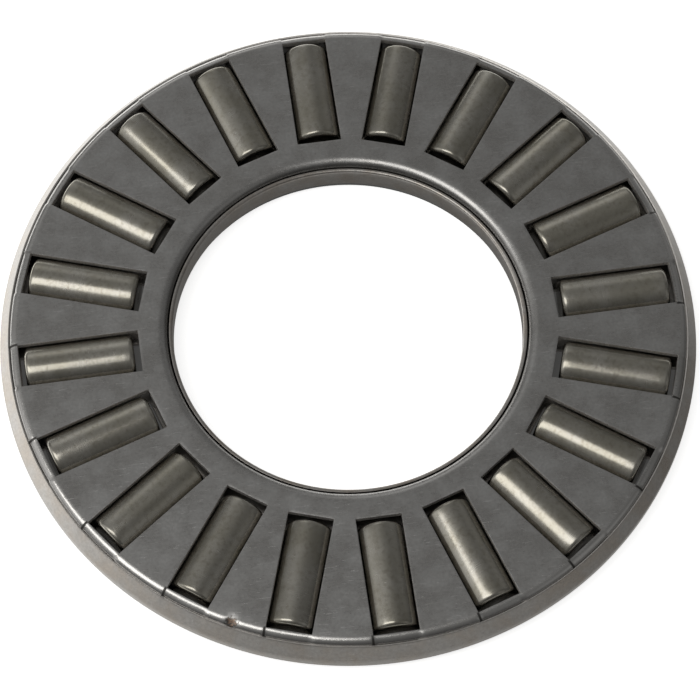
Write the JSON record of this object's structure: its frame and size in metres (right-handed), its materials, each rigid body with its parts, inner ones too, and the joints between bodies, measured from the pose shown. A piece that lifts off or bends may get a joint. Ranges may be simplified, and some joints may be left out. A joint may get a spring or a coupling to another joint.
{
  "type": "thrust needle roller bearing",
  "caption": "Flat ring bearing: radial flat-ended steel rollers carried in a two-piece pressed steel cage, used between two flat washers to take axial load.",
  "frame": {"origin": "on the bearing's axis, in the plane that the lowest lines of the rollers lie in, where a flat raceway touches them", "axes": "+Z along the bearing's axis, towards the upper cage half; +X along the axis of roller_01"},
  "size_m": [0.05, 0.05, 0.0035],
  "materials": {
    "cage_upper": "satin tumbled cold-rolled sheet, grey with a slight olive cast",
    "cage_lower": "satin drawn sheet, brighter on the crimped lip and flange",
    "roller": "ground and polished hardened steel with a thin oil film"
  },
  "bodies": {
    "cage": {"cage_upper_half": "cage_upper", "cage_lower_half": "cage_lower"},
    "roller_01": {"roller_01": "roller"},
    "roller_02": {"roller_02": "roller"},
    "roller_03": {"roller_03": "roller"},
    "roller_04": {"roller_04": "roller"},
    "roller_05": {"roller_05": "roller"},
    "roller_06": {"roller_06": "roller"},
    "roller_07": {"roller_07": "roller"},
    "roller_08": {"roller_08": "roller"},
    "roller_09": {"roller_09": "roller"},
    "roller_10": {"roller_10": "roller"},
    "roller_11": {"roller_11": "roller"},
    "roller_12": {"roller_12": "roller"},
    "roller_13": {"roller_13": "roller"},
    "roller_14": {"roller_14": "roller"},
    "roller_15": {"roller_15": "roller"},
    "roller_16": {"roller_16": "roller"},
    "roller_17": {"roller_17": "roller"},
    "roller_18": {"roller_18": "roller"},
    "roller_19": {"roller_19": "roller"},
    "roller_20": {"roller_20": "roller"}
  },
  "joints": [
    {"name": "roller_01_spin", "type": "hinge", "parent": "cage", "child": "roller_01", "pos_m": [0.0193, 0, 0.00175], "axis": [1, 0, 0], "continuous": true},
    {"name": "roller_02_spin", "type": "hinge", "parent": "cage", "child": "roller_02", "pos_m": [0.01836, 0.00596, 0.00175], "axis": [0.9511, 0.309, 0], "continuous": true},
    {"name": "roller_03_spin", "type": "hinge", "parent": "cage", "child": "roller_03", "pos_m": [0.01561, 0.01134, 0.00175], "axis": [0.809, 0.5878, 0], "continuous": true},
    {"name": "roller_04_spin", "type": "hinge", "parent": "cage", "child": "roller_04", "pos_m": [0.01134, 0.01561, 0.00175], "axis": [0.5878, 0.809, 0], "continuous": true},
    {"name": "roller_05_spin", "type": "hinge", "parent": "cage", "child": "roller_05", "pos_m": [0.00596, 0.01836, 0.00175], "axis": [0.309, 0.9511, 0], "continuous": true},
    {"name": "roller_06_spin", "type": "hinge", "parent": "cage", "child": "roller_06", "pos_m": [0, 0.0193, 0.00175], "axis": [0, 1, 0], "continuous": true},
    {"name": "roller_07_spin", "type": "hinge", "parent": "cage", "child": "roller_07", "pos_m": [-0.00596, 0.01836, 0.00175], "axis": [-0.309, 0.9511, 0], "continuous": true},
    {"name": "roller_08_spin", "type": "hinge", "parent": "cage", "child": "roller_08", "pos_m": [-0.01134, 0.01561, 0.00175], "axis": [-0.5878, 0.809, 0], "continuous": true},
    {"name": "roller_09_spin", "type": "hinge", "parent": "cage", "child": "roller_09", "pos_m": [-0.01561, 0.01134, 0.00175], "axis": [-0.809, 0.5878, 0], "continuous": true},
    {"name": "roller_10_spin", "type": "hinge", "parent": "cage", "child": "roller_10", "pos_m": [-0.01836, 0.00596, 0.00175], "axis": [-0.9511, 0.309, 0], "continuous": true},
    {"name": "roller_11_spin", "type": "hinge", "parent": "cage", "child": "roller_11", "pos_m": [-0.0193, 0, 0.00175], "axis": [-1, 0, 0], "continuous": true},
    {"name": "roller_12_spin", "type": "hinge", "parent": "cage", "child": "roller_12", "pos_m": [-0.01836, -0.00596, 0.00175], "axis": [-0.9511, -0.309, 0], "continuous": true},
    {"name": "roller_13_spin", "type": "hinge", "parent": "cage", "child": "roller_13", "pos_m": [-0.01561, -0.01134, 0.00175], "axis": [-0.809, -0.5878, 0], "continuous": true},
    {"name": "roller_14_spin", "type": "hinge", "parent": "cage", "child": "roller_14", "pos_m": [-0.01134, -0.01561, 0.00175], "axis": [-0.5878, -0.809, 0], "continuous": true},
    {"name": "roller_15_spin", "type": "hinge", "parent": "cage", "child": "roller_15", "pos_m": [-0.00596, -0.01836, 0.00175], "axis": [-0.309, -0.9511, 0], "continuous": true},
    {"name": "roller_16_spin", "type": "hinge", "parent": "cage", "child": "roller_16", "pos_m": [0, -0.0193, 0.00175], "axis": [0, -1, 0], "continuous": true},
    {"name": "roller_17_spin", "type": "hinge", "parent": "cage", "child": "roller_17", "pos_m": [0.00596, -0.01836, 0.00175], "axis": [0.309, -0.9511, 0], "continuous": true},
    {"name": "roller_18_spin", "type": "hinge", "parent": "cage", "child": "roller_18", "pos_m": [0.01134, -0.01561, 0.00175], "axis": [0.5878, -0.809, 0], "continuous": true},
    {"name": "roller_19_spin", "type": "hinge", "parent": "cage", "child": "roller_19", "pos_m": [0.01561, -0.01134, 0.00175], "axis": [0.809, -0.5878, 0], "continuous": true},
    {"name": "roller_20_spin", "type": "hinge", "parent": "cage", "child": "roller_20", "pos_m": [0.01836, -0.00596, 0.00175], "axis": [0.9511, -0.309, 0], "continuous": true}
  ]
}
